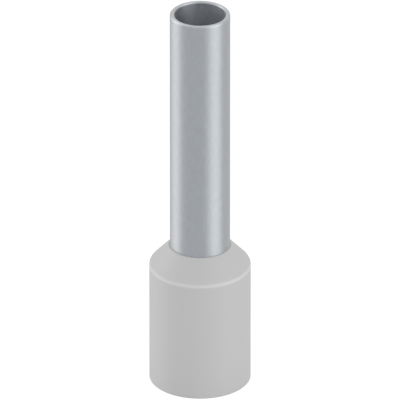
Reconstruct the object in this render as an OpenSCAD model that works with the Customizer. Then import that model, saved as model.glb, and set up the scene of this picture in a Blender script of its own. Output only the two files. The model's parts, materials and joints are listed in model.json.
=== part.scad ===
// Insulated wire ferrule: a thin tinned sleeve whose flared root is held in a moulded plastic collar.
// The axis is Z. Z = 0 is the open end of the collar, where the wire goes in, and the bare barrel of
// the sleeve points up. Sizes are in millimetres.

/* [Sleeve] */
// Bore of the sleeve, which takes the bare strands of the wire
sleeve_bore = 2.7; // [2.4:0.1:3.4]
// Wall of the sleeve
sleeve_wall = 0.25; // [0.24:0.01:0.32]
// Length of the barrel, the part of the sleeve that stands out of the collar
barrel_length = 13.7; // [6:0.1:25]
// Rounding of the outer edge at the cut end of the barrel
tip_round = 0.12; // [0.02:0.01:0.12]
// Rounding of the edge of the bore at the cut end of the barrel
bore_round = 0.1; // [0.02:0.01:0.1]
// Rounding of both edges round the lip of the flare
lip_round = 0.03; // [0.01:0.01:0.04]

/* [Collar] */
// Bore of the collar, which takes the insulation of the wire
collar_bore = 4.8; // [4.4:0.1:6]
// Wall of the collar round the insulation
collar_wall = 0.3; // [0.2:0.02:0.5]
// Length of the collar, from its open end to the tip of its neck
collar_length = 7.9; // [5:0.1:14]
// Slope of the shoulder, measured from the axis in degrees
shoulder_slope = 43; // [30:1:60]
// Wall of the shoulder, square to its slope
shoulder_wall = 0.3; // [0.25:0.05:0.6]
// Wall of the collar at the tip of its neck
neck_wall = 0.06; // [0.05:0.01:0.2]
// Rounding between the side of the collar and its shoulder
shoulder_round = 0.26; // [0.1:0.02:0.6]
// Rounding of the outer edge at the tip of the neck
neck_round = 0.04; // [0.02:0.01:0.09]
// Rounding of both edges of the ring at the open end
mouth_round = 0.02; // [0.02:0.01:0.09]
// Rounding of the seat's inner end, round which the root of the sleeve bends
seat_round = 0.2; // [0.1:0.02:0.3]
// Rounding of the seat's outer end, where it runs into the bore
funnel_round = 0.25; // [0.1:0.02:0.4]

/* [Fit] */
// Gap all the way round between the sleeve and the collar that holds it
seat_gap = 0.01; // [0.005:0.005:0.03]
// How far the lip of the flare stops short of the seat's outer end, measured across the axis
lip_gap = 0.17; // [0.04:0.01:0.2]

/* [Hidden] */
$fn = 96;
// Flat steps along each rounded corner
arc_steps = 6;

sleeve_bore_r = sleeve_bore / 2;
barrel_r = sleeve_bore_r + sleeve_wall;
neck_bore_r = barrel_r + seat_gap;
neck_r = neck_bore_r + neck_wall;
collar_bore_r = collar_bore / 2;
collar_r = collar_bore_r + collar_wall;
overall_length = collar_length + barrel_length;

// Height of the shoulder's outer face at radius r
function shoulder_z(r) = collar_length - (r - neck_r) / tan(shoulder_slope);

// Height at radius r of a cone that lies under the shoulder's outer face, by a depth square to it
function under_shoulder_z(r, depth) = shoulder_z(r) - depth / sin(shoulder_slope);

// The seat is the shoulder's inner face, and the root of the sleeve is flared out against it
seat_depth = shoulder_wall;
flare_outer_depth = seat_depth + seat_gap;
flare_inner_depth = flare_outer_depth + sleeve_wall;
seat_end_r = collar_bore_r - funnel_round * tan(shoulder_slope / 2) * sin(shoulder_slope);
lip_r = seat_end_r - lip_gap;

// The bend at the root shares its centre with the rounding that it bends round
root_outer_round = seat_round + seat_gap;
root_inner_round = root_outer_round + sleeve_wall;

function unit(v) = v / norm(v);

function turned(v, angle) =
    [v.x * cos(angle) - v.y * sin(angle), v.x * sin(angle) + v.y * cos(angle)];

// The corner at b, on the way from a to c, as points along the arc that rounds it
function rounded_corner(a, b, c, radius) =
    let (
        back = unit(a - b),
        on = unit(c - b),
        half_angle = acos(back * on) / 2,
        centre = b + unit(back + on) * radius / sin(half_angle),
        start = b + back * radius / tan(half_angle) - centre,
        sweep = sign(cross(b - a, c - b)) * (180 - 2 * half_angle)
    )
    [for (i = [0:arc_steps]) centre + turned(start, sweep * i / arc_steps)];

// A closed outline through corners given as [radius, height, rounding]
function rounded_outline(corners) =
    let (
        points = [for (corner = corners) [corner.x, corner.y]],
        count = len(points)
    )
    [for (i = [0:count - 1])
        let (before = points[(i + count - 1) % count], after = points[(i + 1) % count])
        each corners[i].z > 0
            ? rounded_corner(before, points[i], after, corners[i].z)
            : [points[i]]];

// Tinned sleeve: a straight barrel, bent outwards at its root into a flare that ends in a lip
module metal_sleeve() {
    lip_outer = [lip_r, under_shoulder_z(lip_r, flare_outer_depth)];
    lip_inner = lip_outer - sleeve_wall * [cos(shoulder_slope), sin(shoulder_slope)];
    color([0.70, 0.71, 0.73])
        rotate_extrude()
            polygon(rounded_outline([
                [sleeve_bore_r, overall_length, bore_round],
                [sleeve_bore_r, under_shoulder_z(sleeve_bore_r, flare_inner_depth), root_inner_round],
                [lip_inner.x, lip_inner.y, lip_round],
                [lip_outer.x, lip_outer.y, lip_round],
                [barrel_r, under_shoulder_z(barrel_r, flare_outer_depth), root_outer_round],
                [barrel_r, overall_length, tip_round]
            ]));
}

// Moulded collar: a tube for the insulation, a sloping shoulder, and a neck round the barrel
module plastic_collar() {
    color([0.74, 0.74, 0.74])
        rotate_extrude()
            polygon(rounded_outline([
                [collar_bore_r, 0, mouth_round],
                [collar_r, 0, mouth_round],
                [collar_r, shoulder_z(collar_r), shoulder_round],
                [neck_r, collar_length, neck_round],
                [neck_bore_r, collar_length, 0],
                [neck_bore_r, under_shoulder_z(neck_bore_r, seat_depth), seat_round],
                [collar_bore_r, under_shoulder_z(collar_bore_r, seat_depth), funnel_round]
            ]));
}

metal_sleeve();
plastic_collar();
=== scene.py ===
"""Insulated wire ferrule: a tinned metal sleeve in a grey plastic collar, standing on the collar."""
import json
import math

import bmesh
import bpy
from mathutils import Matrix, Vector


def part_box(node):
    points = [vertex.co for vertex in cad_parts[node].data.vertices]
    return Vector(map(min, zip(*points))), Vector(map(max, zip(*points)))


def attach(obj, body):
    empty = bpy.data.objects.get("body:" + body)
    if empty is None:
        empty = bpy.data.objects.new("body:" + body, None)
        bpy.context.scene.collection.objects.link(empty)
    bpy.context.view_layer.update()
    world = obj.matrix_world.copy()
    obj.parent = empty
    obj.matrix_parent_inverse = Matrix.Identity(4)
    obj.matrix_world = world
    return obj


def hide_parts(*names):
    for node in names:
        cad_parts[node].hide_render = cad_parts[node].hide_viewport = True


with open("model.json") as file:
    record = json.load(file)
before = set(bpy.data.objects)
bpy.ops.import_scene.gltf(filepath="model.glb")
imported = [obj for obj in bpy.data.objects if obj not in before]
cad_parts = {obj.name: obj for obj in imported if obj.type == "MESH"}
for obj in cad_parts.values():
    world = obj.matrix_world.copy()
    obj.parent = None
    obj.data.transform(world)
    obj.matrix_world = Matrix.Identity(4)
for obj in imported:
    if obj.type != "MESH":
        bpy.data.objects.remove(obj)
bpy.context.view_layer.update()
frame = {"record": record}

MM = 0.001

# ---------------------------------------------------------------- sizes, in metres

MOUNTS = {mount["name"]: mount for mount in frame["record"]["mounts"]}


def mount_radius(name):
    return MOUNTS[name]["dims"]["r_mm"] * MM


BARREL_R = mount_radius("contact_barrel")
SLEEVE_BORE_R = mount_radius("conductor_bore")
COLLAR_BORE_R = mount_radius("insulation_bore")
COLLAR_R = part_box("plastic_collar")[1].x
COLLAR_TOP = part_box("plastic_collar")[1].z
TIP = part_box("metal_sleeve")[1].z
SLEEVE_WALL = BARREL_R - SLEEVE_BORE_R

# The forms inside the collar and the roundings, as on the CAD nodes
SHOULDER_SLOPE = math.radians(43)
SHOULDER_WALL = 0.3 * MM
NECK_WALL = 0.06 * MM
SEAT_GAP = 0.01 * MM
LIP_GAP = 0.17 * MM
TIP_ROUND = 0.12 * MM
BORE_ROUND = 0.1 * MM
LIP_ROUND = 0.03 * MM
SHOULDER_ROUND = 0.26 * MM
NECK_ROUND = 0.04 * MM
MOUTH_ROUND = 0.02 * MM
SEAT_ROUND = 0.2 * MM
FUNNEL_ROUND = 0.25 * MM

NECK_R = BARREL_R + SEAT_GAP + NECK_WALL
# The moulded neck grips the sleeve, so here it reaches a hair into the sleeve's wall
NECK_GRIP = 0.003 * MM
NECK_BORE_R = BARREL_R - NECK_GRIP
SEAT_END_R = COLLAR_BORE_R - FUNNEL_ROUND * math.tan(SHOULDER_SLOPE / 2) * math.sin(SHOULDER_SLOPE)
LIP_R = SEAT_END_R - LIP_GAP

# How finely the turned forms are meshed: steps round the axis and round a corner, the gap between
# the rings of a straight stretch, and how close to a corner its first ring lies
TURN_STEPS = 256
ARC_STEPS = 12
RING_GAP = 0.2 * MM
EDGE_RING = 0.012 * MM


def under_shoulder(radius, depth):
    """Height at a radius on the cone that lies a depth under the shoulder's outer face."""
    outer = COLLAR_TOP - (radius - NECK_R) / math.tan(SHOULDER_SLOPE)
    return outer - depth / math.sin(SHOULDER_SLOPE)


# ---------------------------------------------------------------- turned meshes

def rounded_corner(before, corner, after, radius):
    """Points along the arc that rounds a corner."""
    back = (before - corner).normalized()
    on = (after - corner).normalized()
    half_angle = back.angle(on) / 2
    centre = corner + (back + on).normalized() * (radius / math.sin(half_angle))
    start = corner + back * (radius / math.tan(half_angle)) - centre
    way = 1 if back.x * on.y - back.y * on.x < 0 else -1
    sweep = way * (math.pi - 2 * half_angle)
    points = []
    for i in range(ARC_STEPS + 1):
        turn = sweep * i / ARC_STEPS
        points.append(centre + Vector((start.x * math.cos(turn) - start.y * math.sin(turn),
                                       start.x * math.sin(turn) + start.y * math.cos(turn))))
    return points


def rings_between(start, end):
    """Points on a straight stretch: one close to each end, which holds the shading of the
    rounding next to it, and an even row between those."""
    along = end - start
    if along.length < 4 * EDGE_RING:
        return []
    edge = along.normalized() * EDGE_RING
    first = start + edge
    last = end - edge
    count = max(1, round((last - first).length / RING_GAP))
    return [first.lerp(last, i / count) for i in range(count + 1)]


def outline(corners):
    """A closed outline through corners given as (radius, height, rounding)."""
    places = [Vector(corner[:2]) for corner in corners]
    count = len(places)
    stretches = []
    for i, (_, _, rounding) in enumerate(corners):
        before, after = places[i - 1], places[(i + 1) % count]
        stretches.append(rounded_corner(before, places[i], after, rounding) if rounding else [places[i]])
    points = []
    for i, arc in enumerate(stretches):
        points += arc
        points += rings_between(arc[-1], stretches[(i + 1) % count][0])
    return points


def turned_piece(name, corners):
    """A closed outline turned about the axis, as one smooth closed mesh."""
    mesh = bmesh.new()
    rings = []
    for radius, height in outline(corners):
        ring = []
        for step in range(TURN_STEPS):
            turn = 2 * math.pi * step / TURN_STEPS
            ring.append(mesh.verts.new((radius * math.cos(turn), radius * math.sin(turn), height)))
        rings.append(ring)
    for lower, upper in zip(rings, rings[1:] + rings[:1]):
        for step in range(TURN_STEPS):
            after = (step + 1) % TURN_STEPS
            face = mesh.faces.new((lower[step], lower[after], upper[after], upper[step]))
            face.smooth = True
    bmesh.ops.recalc_face_normals(mesh, faces=mesh.faces)
    data = bpy.data.meshes.new(name)
    mesh.to_mesh(data)
    mesh.free()
    piece = bpy.data.objects.new(name, data)
    bpy.context.scene.collection.objects.link(piece)
    return piece


def sleeve_corners():
    outer_depth = SHOULDER_WALL + SEAT_GAP
    inner_depth = outer_depth + SLEEVE_WALL
    outer_round = SEAT_ROUND + SEAT_GAP
    lip_outer = Vector((LIP_R, under_shoulder(LIP_R, outer_depth)))
    across = Vector((math.cos(SHOULDER_SLOPE), math.sin(SHOULDER_SLOPE)))
    lip_inner = lip_outer - SLEEVE_WALL * across
    return [
        (SLEEVE_BORE_R, TIP, BORE_ROUND),
        (SLEEVE_BORE_R, under_shoulder(SLEEVE_BORE_R, inner_depth), outer_round + SLEEVE_WALL),
        (lip_inner.x, lip_inner.y, LIP_ROUND),
        (lip_outer.x, lip_outer.y, LIP_ROUND),
        (BARREL_R, under_shoulder(BARREL_R, outer_depth), outer_round),
        (BARREL_R, TIP, TIP_ROUND),
    ]


def collar_corners():
    return [
        (COLLAR_BORE_R, 0, MOUTH_ROUND),
        (COLLAR_R, 0, MOUTH_ROUND),
        (COLLAR_R, under_shoulder(COLLAR_R, 0), SHOULDER_ROUND),
        (NECK_R, COLLAR_TOP, NECK_ROUND),
        (NECK_BORE_R, COLLAR_TOP, 0),
        (NECK_BORE_R, under_shoulder(NECK_BORE_R, SHOULDER_WALL), SEAT_ROUND),
        (COLLAR_BORE_R, under_shoulder(COLLAR_BORE_R, SHOULDER_WALL), FUNNEL_ROUND),
    ]


# ---------------------------------------------------------------- nodes

def add(tree, kind, inputs=None, **settings):
    """A node with its settings, and its inputs as values or as sockets to link."""
    node = tree.nodes.new(kind)
    for name, value in settings.items():
        setattr(node, name, value)
    for name, value in (inputs or {}).items():
        if isinstance(value, bpy.types.NodeSocket):
            tree.links.new(value, node.inputs[name])
        else:
            node.inputs[name].default_value = value
    return node


def maths(tree, operation, a, b=0.0):
    return add(tree, "ShaderNodeMath", {0: a, 1: b}, operation=operation).outputs[0]


def ramp(tree, value, low, high, to_low=0.0, to_high=1.0):
    """A value carried smoothly from one range to another, and held at its ends."""
    node = add(tree, "ShaderNodeMapRange",
               {"Value": value, "From Min": low, "From Max": high, "To Min": to_low, "To Max": to_high},
               interpolation_type="SMOOTHSTEP")
    return node.outputs["Result"]


def noise(tree, place, scale, detail, roughness):
    """Noise with about one bump to each unit of place, times scale."""
    node = add(tree, "ShaderNodeTexNoise",
               {"Vector": place, "Scale": scale, "Detail": detail, "Roughness": roughness})
    return node.outputs["Fac"]


def stretched(tree, place, scale):
    return add(tree, "ShaderNodeVectorMath", {0: place, 1: scale}, operation="MULTIPLY").outputs[0]


def blend(tree, share, first, second):
    """A colour between two, by the share of the second."""
    return add(tree, "ShaderNodeMix", {0: share, 6: first, 7: second}, data_type="RGBA").outputs[2]


def blank_material(name):
    material = bpy.data.materials.new(name)
    material.use_nodes = True
    material.node_tree.nodes.clear()
    return material, material.node_tree


# ---------------------------------------------------------------- materials

# How many bumps of noise there are to the metre, and the stretch of the noise that shows
CLOUDS_PER_METRE = 6000
LINES_PER_METRE = 9000
GRAINS_PER_METRE = 12000
NOISE_RANGE = 0.3, 0.7

# Each pair is the darker and the paler end of a surface's colour; the plastic's paler one is a painted
# highlight
TIN_COLOURS = (0.650, 0.677, 0.705, 1), (0.694, 0.723, 0.751, 1)
PLASTIC_AND_HIGHLIGHT_COLOURS = (0.50, 0.50, 0.50, 1), (0.60, 0.60, 0.60, 1)

# A painted highlight: the edge between the collar's side and its shoulder is coloured paler in a band
PAINTED_HIGHLIGHT_HEIGHT = under_shoulder(COLLAR_R, 0) - 0.08 * MM
PAINTED_HIGHLIGHT_SPREAD = 0.16 * MM
PAINTED_HIGHLIGHT_OUTSIDE_R = COLLAR_R - 0.2 * MM
PAINTED_HIGHLIGHT_FULL_R = COLLAR_R - 0.1 * MM


def tin_plate():
    """Satin tin plate: cloudy in small blotches along the axis, with faint drawing lines. Its gloss
    spreads along the axis, as drawing leaves it."""
    material, tree = blank_material("tin_plate")
    place = add(tree, "ShaderNodeTexCoord").outputs["Object"]
    clouds = noise(tree, stretched(tree, place, (1, 1, 0.4)), CLOUDS_PER_METRE, 3.0, 0.6)
    lines = noise(tree, stretched(tree, place, (1, 1, 0.02)), LINES_PER_METRE, 2.0, 0.5)
    colour = blend(tree, ramp(tree, clouds, *NOISE_RANGE), *TIN_COLOURS)
    round_axis = add(tree, "ShaderNodeTangent", direction_type="RADIAL", axis="Z").outputs[0]
    shader = add(tree, "ShaderNodeBsdfPrincipled",
                 {"Base Color": colour, "Metallic": 1.0,
                  "Roughness": ramp(tree, clouds, *NOISE_RANGE, 0.37, 0.42),
                  "Anisotropic": 0.82, "Anisotropic Rotation": 0.25, "Tangent": round_axis})
    bump = add(tree, "ShaderNodeBump", {"Height": maths(tree, "ADD", clouds, lines),
                                        "Strength": 1.0, "Distance": 0.0004 * MM})
    tree.links.new(bump.outputs["Normal"], shader.inputs["Normal"])
    output = add(tree, "ShaderNodeOutputMaterial")
    tree.links.new(shader.outputs[0], output.inputs["Surface"])
    return material


def moulded_plastic():
    """Satin moulded polypropylene, light grey, with a fine grain and a painted highlight round the edge
    of its shoulder.
    """
    material, tree = blank_material("moulded_plastic")
    place = add(tree, "ShaderNodeTexCoord").outputs["Object"]
    grain = noise(tree, place, GRAINS_PER_METRE, 3.0, 0.6)
    height = add(tree, "ShaderNodeSeparateXYZ", {0: place}).outputs["Z"]
    across = add(tree, "ShaderNodeVectorMath", {0: stretched(tree, place, (1, 1, 0))},
                 operation="LENGTH").outputs["Value"]
    # Painted highlight: a band round the shoulder's edge, near the outside, takes the paler colour
    off = maths(tree, "ABSOLUTE", maths(tree, "SUBTRACT", height, PAINTED_HIGHLIGHT_HEIGHT))
    painted_highlight = maths(tree, "MULTIPLY", ramp(tree, off, PAINTED_HIGHLIGHT_SPREAD, 0.0),
                   ramp(tree, across, PAINTED_HIGHLIGHT_OUTSIDE_R, PAINTED_HIGHLIGHT_FULL_R))
    colour = blend(tree, painted_highlight, *PLASTIC_AND_HIGHLIGHT_COLOURS)
    shader = add(tree, "ShaderNodeBsdfPrincipled",
                 {"Base Color": colour, "Roughness": ramp(tree, grain, *NOISE_RANGE, 0.36, 0.44),
                  "Sheen Weight": 0.10, "Sheen Roughness": 0.5})
    bump = add(tree, "ShaderNodeBump", {"Height": grain, "Strength": 1.0, "Distance": 0.0006 * MM})
    tree.links.new(bump.outputs["Normal"], shader.inputs["Normal"])
    output = add(tree, "ShaderNodeOutputMaterial")
    tree.links.new(shader.outputs[0], output.inputs["Surface"])
    return material


def put_on(piece, material):
    piece.data.materials.append(material)
    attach(piece, "root")


sleeve = turned_piece("drawn_sleeve", sleeve_corners())
put_on(sleeve, tin_plate())
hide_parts("metal_sleeve")

collar = turned_piece("moulded_collar", collar_corners())
put_on(collar, moulded_plastic())
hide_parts("plastic_collar")


# ---------------------------------------------------------------- studio

FLOOR_SIZE = 2.0
# To the eye this share of the floor is its own white, and the rest is lit and takes the shadow
WHITE_SHARE = 0.75
WHITE_LEVEL = 1.14


def floor():
    """A white floor that keeps a soft shadow."""
    mesh = bmesh.new()
    bmesh.ops.create_grid(mesh, x_segments=1, y_segments=1, size=FLOOR_SIZE / 2)
    data = bpy.data.meshes.new("floor")
    mesh.to_mesh(data)
    mesh.free()
    piece = bpy.data.objects.new("floor", data)
    bpy.context.scene.collection.objects.link(piece)
    material, tree = blank_material("floor_white")
    eye = add(tree, "ShaderNodeLightPath").outputs["Is Camera Ray"]
    lit = add(tree, "ShaderNodeBsdfDiffuse", {"Color": (0.88, 0.88, 0.88, 1)})
    white = add(tree, "ShaderNodeEmission", {"Color": (1, 1, 1, 1), "Strength": WHITE_LEVEL})
    mixed = add(tree, "ShaderNodeMixShader",
                {0: maths(tree, "MULTIPLY", eye, WHITE_SHARE), 1: lit.outputs[0], 2: white.outputs[0]})
    output = add(tree, "ShaderNodeOutputMaterial")
    tree.links.new(mixed.outputs[0], output.inputs["Surface"])
    data.materials.append(material)
    piece.visible_glossy = False


# What gloss sees of the room: its level, which rises overhead, and two bright cards. The steps go from
# the camera's side round to the right and to the left. Each gives the azimuths between which the
# brightness changes, and by how much. A card is brighter still in a band of heights.
ROOM_LEVEL = 0.535
OVERHEAD_LEVEL = 0.68
CARD_BAND_GAIN = 1.6
ROOM_STEPS = ((14, 60, 0.37), (70, 98, -0.33), (98, 180, 0.04),
              (-64, -103, 0.39), (-108, -150, -0.35), (-150, -180, 0.04))
# The room's tint on the camera's side, and away from it
ROOM_TINTS = (0.985, 1, 1.025, 1), (1.02, 1, 0.98, 1)
# The even light from the sides, and from straight above
SIDE_LIGHT = 1.06
TOP_LIGHT = 0.80


def studio_world():
    """White to the eye. Gloss shows a pale room with two bright cards, and the rest is even light."""
    world = bpy.data.worlds.new("studio")
    bpy.context.scene.world = world
    world.use_nodes = True
    tree = world.node_tree
    tree.nodes.clear()
    path = add(tree, "ShaderNodeLightPath")
    way = add(tree, "ShaderNodeTexCoord").outputs["Generated"]
    axes = add(tree, "ShaderNodeSeparateXYZ", {0: way})
    turn = maths(tree, "ARCTAN2", axes.outputs["X"], maths(tree, "MULTIPLY", axes.outputs["Y"], -1.0))

    cards = 0.0
    for start, end, change in ROOM_STEPS:
        step = ramp(tree, turn, math.radians(start), math.radians(end), 0.0, change)
        cards = maths(tree, "ADD", step, cards)
    height = axes.outputs["Z"]
    band = maths(tree, "MULTIPLY", ramp(tree, height, -0.15, 0.12),
                 ramp(tree, height, 0.8, 0.45, 0.0, CARD_BAND_GAIN))
    room = maths(tree, "ADD", ramp(tree, height, 0.4, 0.9, ROOM_LEVEL, OVERHEAD_LEVEL),
                 maths(tree, "MULTIPLY", maths(tree, "ADD", band, 1.0), cards))
    aside = ramp(tree, maths(tree, "ABSOLUTE", turn), math.radians(20), math.radians(150))
    tint = blend(tree, aside, *ROOM_TINTS)
    above = ramp(tree, height, 0.0, 1.0, SIDE_LIGHT, TOP_LIGHT)
    gloss = add(tree, "ShaderNodeBackground", {"Color": tint, "Strength": room})
    even = add(tree, "ShaderNodeBackground", {"Color": (1, 1, 1, 1), "Strength": above})
    white = add(tree, "ShaderNodeBackground", {"Color": (1, 1, 1, 1), "Strength": 1.0})
    shiny = maths(tree, "MAXIMUM", path.outputs["Is Glossy Ray"], path.outputs["Is Transmission Ray"])
    mixed = add(tree, "ShaderNodeMixShader", {0: shiny, 1: even.outputs[0], 2: gloss.outputs[0]})
    mixed = add(tree, "ShaderNodeMixShader",
                {0: path.outputs["Is Camera Ray"], 1: mixed.outputs[0], 2: white.outputs[0]})
    output = add(tree, "ShaderNodeOutputWorld")
    tree.links.new(mixed.outputs[0], output.inputs["Surface"])


# How high the lamps stand over the middle of the ferrule, how far off, and how wide they are
LAMP_RISE = math.radians(12)
LAMP_DISTANCE = 0.4
LAMP_SIZE = 0.25


def softbox(name, azimuth, power):
    """A square lamp aimed at the middle of the ferrule. Azimuth 0 is the camera's side, and 90 its
    right. Gloss doesn't see it, because the room has its own cards."""
    data = bpy.data.lights.new(name, "AREA")
    data.size = LAMP_SIZE
    data.energy = power
    lamp = bpy.data.objects.new(name, data)
    bpy.context.scene.collection.objects.link(lamp)
    turn = math.radians(azimuth)
    away = Vector((math.sin(turn) * math.cos(LAMP_RISE), -math.cos(turn) * math.cos(LAMP_RISE),
                   math.sin(LAMP_RISE)))
    lamp.location = MIDDLE + away * LAMP_DISTANCE
    lamp.rotation_mode = "QUATERNION"
    lamp.rotation_quaternion = away.to_track_quat("Z", "Y")
    lamp.visible_camera = False
    lamp.visible_glossy = False


MIDDLE = Vector((0, 0, TIP / 2))
floor()
studio_world()
softbox("key", 60, 0.37)
softbox("fill", -104, 0.40)

# ---------------------------------------------------------------- camera

LENS = 1500
SENSOR = 36
VIEW_WIDTH = 21.23 * MM
VIEW_RISE = math.radians(27.4)
AIM = Vector((0, 0, 10.52 * MM))

camera_data = bpy.data.cameras.new("camera")
camera_data.lens = LENS
camera_data.sensor_width = SENSOR
camera = bpy.data.objects.new("camera", camera_data)
bpy.context.scene.collection.objects.link(camera)
back = Vector((0, -math.cos(VIEW_RISE), math.sin(VIEW_RISE)))
camera.location = AIM + back * (VIEW_WIDTH * LENS / SENSOR)
camera.rotation_mode = "QUATERNION"
camera.rotation_quaternion = (-back).to_track_quat("-Z", "Y")
bpy.context.scene.camera = camera
bpy.context.scene.view_settings.view_transform = "Standard"
